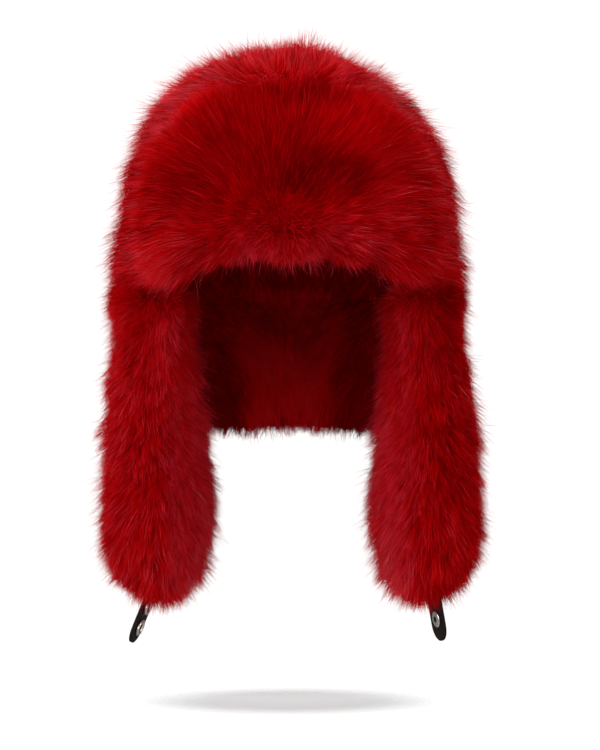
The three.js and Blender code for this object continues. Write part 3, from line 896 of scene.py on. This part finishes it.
FACE = 1.3
STUD_BACK = [(0, -FACE - 1.7), (3.0, -FACE - 1.65), (4.6, -FACE - 1.5), (5.7, -FACE - 1.15),
             (6.2, -FACE - 0.8), (6.3, -FACE - 0.4), (6.2, -FACE), (1.8, -FACE), (1.8, FACE)]
SOCKET_FACE = [(6.3, FACE), (6.6, FACE + 0.3), (6.6, FACE + 0.9), (6.3, FACE + 1.5),
               (5.8, FACE + 1.9), (5.2, FACE + 2.0), (4.6, FACE + 1.8), (4.2, FACE + 1.5),
               (3.8, FACE + 0.6), (2.6, FACE + 0.5), (2.3, FACE + 0.9), (1.9, FACE + 0.9),
               (1.6, FACE + 0.1), (0, FACE + 0.1)]
RIVET_FACE = [(6.2, FACE), (6.3, FACE + 0.3), (5.9, FACE + 0.7), (5.0, FACE + 0.9),
              (3.4, FACE + 0.85), (2.8, FACE + 1.0), (2.4, FACE + 1.0), (2.1, FACE + 0.8),
              (1.9, FACE + 0.2), (1.7, FACE - 0.6), (0, FACE - 0.6)]

# The side that each stud is on, how far down its tab it is, its face, and the radius of its mouth, whose
# faces take the black leather as painted shade
STUDS = {
    "snap_left_upper": ("left", 0.016, SOCKET_FACE, 0.0036),
    "snap_left_lower": ("left", 0.033, SOCKET_FACE, 0.0036),
    "snap_right": ("right", 0.029, RIVET_FACE, 0.0023),
}

for node, (side, down, face, painted_shade_radius) in STUDS.items():
    profile = [(radius / 1000, 0, height / 1000) for radius, height in STUD_BACK + face]
    mesh = bpy.data.meshes.new(f"{node}_turned")
    mesh.from_pydata(profile, [(i, i + 1) for i in range(len(profile) - 1)], [])
    stud = bpy.data.objects.new(f"{node}_turned", mesh)
    bpy.context.scene.collection.objects.link(stud)
    only(stud)
    bpy.ops.object.mode_set(mode="EDIT")
    bpy.ops.mesh.select_all(action="SELECT")
    bpy.ops.mesh.spin(steps=48, angle=math.tau, center=(0, 0, 0), axis=(0, 0, 1))
    bpy.ops.mesh.select_all(action="SELECT")
    bpy.ops.mesh.remove_doubles(threshold=1e-6)
    bpy.ops.mesh.normals_make_consistent(inside=False)
    bpy.ops.object.mode_set(mode="OBJECT")
    centres = [polygon.center for polygon in mesh.polygons]
    in_painted_shade = [centre.xy.length < painted_shade_radius and centre.z > 0 for centre in centres]
    mesh.transform(tab_frame(side) @ Matrix.Translation((0, down, 0)))
    bpy.ops.object.shade_smooth_by_angle(angle=math.radians(50))
    finished(stud, nickel_material, "snap_metal", node)
    # Painted shade: the faces in the stud's mouth take the black leather
    mesh.materials.append(leather_material)
    mesh.polygons.foreach_set("material_index", np.array(in_painted_shade, dtype=np.int32))


# Studio: a floor that fades out round the hat's soft shadow, a white world and five soft lights

SHADOW_SOLID, SHADOW_GONE = 0.060, 0.130
SHADOW_NARROWING = 1.25  # from front to back
WORLD_SEEN, WORLD_LIGHT = 1.05, 0.28

floor_finish = Finish(
    "studio_floor",
    Base_Color=colour(0.87, 0.9, 0.9),
    Roughness=0.9,
    Specular_IOR_Level=0.0,
    Emission_Color=colour(1, 1, 1),
    Emission_Strength=0.12,
)
floor_place = floor_finish.place((1, SHADOW_NARROWING, 1))
middle_out = floor_finish.node("ShaderNodeVectorMath", {"operation": "LENGTH"}, {0: floor_place}).part(1)
shadow = {"Value": middle_out, "From Min": SHADOW_SOLID, "From Max": SHADOW_GONE, "To Min": 1, "To Max": 0}
fade = floor_finish.node("ShaderNodeMapRange", {"interpolation_type": "SMOOTHSTEP"}, shadow)
floor_finish.feed(Alpha=fade)
bpy.ops.mesh.primitive_plane_add(size=2, location=(0, 0, FLOOR_LEVEL))
floor = bpy.context.object
floor.name = "studio_floor"
floor.data.materials.append(floor_finish.material)
floor.visible_diffuse = False

world = bpy.data.worlds.new("studio")
bpy.context.scene.world = world
world.use_nodes = True
background = world.node_tree.nodes["Background"]
background.inputs["Color"].default_value = colour(1, 1, 1)
path = world.node_tree.nodes.new("ShaderNodeLightPath")
strength = world.node_tree.nodes.new("ShaderNodeMapRange")
strength.inputs["To Min"].default_value = WORLD_LIGHT
strength.inputs["To Max"].default_value = WORLD_SEEN
world.node_tree.links.new(path.outputs["Is Camera Ray"], strength.inputs["Value"])
world.node_tree.links.new(strength.outputs["Result"], background.inputs["Strength"])


def soft_light(name, place, target, size, power):
    data = bpy.data.lights.new(name, "AREA")
    data.shape = "RECTANGLE"
    data.size, data.size_y = size
    data.energy = power
    lamp = bpy.data.objects.new(name, data)
    bpy.context.scene.collection.objects.link(lamp)
    lamp.location = place
    lamp.rotation_euler = (Vector(target) - Vector(place)).to_track_quat("-Z", "Y").to_euler()


soft_light("left", (-1.55, -0.95, 0.2), (0, 0, -0.2), (0.9, 1.4), 34)
soft_light("right", (1.6, -0.65, 0.0), (0, 0, -0.2), (0.9, 1.4), 18)
soft_light("back", (-0.1, 0.9, 1.3), (0, 0, -0.2), (2.2, 0.8), 11)
soft_light("top", (-0.06, -0.05, 1.5), (0, 0, -0.2), (0.7, 0.7), 22)
soft_light("front", (0, -2.3, -0.6), (0, 0, -0.3), (0.6, 0.6), 24)


# Camera, level with the middle of the hat and straight in front of it

CAMERA_PLACE = (0.0087, -2.2, -0.217)
FRAME_HEIGHT = 0.570
SENSOR = 36
camera_data = bpy.data.cameras.new("camera")
camera_data.sensor_width = SENSOR
camera_data.lens = SENSOR * -CAMERA_PLACE[1] / FRAME_HEIGHT
camera = bpy.data.objects.new("camera", camera_data)
bpy.context.scene.collection.objects.link(camera)
camera.location = CAMERA_PLACE
camera.rotation_euler = (math.pi / 2, 0, 0)
bpy.context.scene.camera = camera
bpy.context.scene.view_settings.view_transform = "Standard"
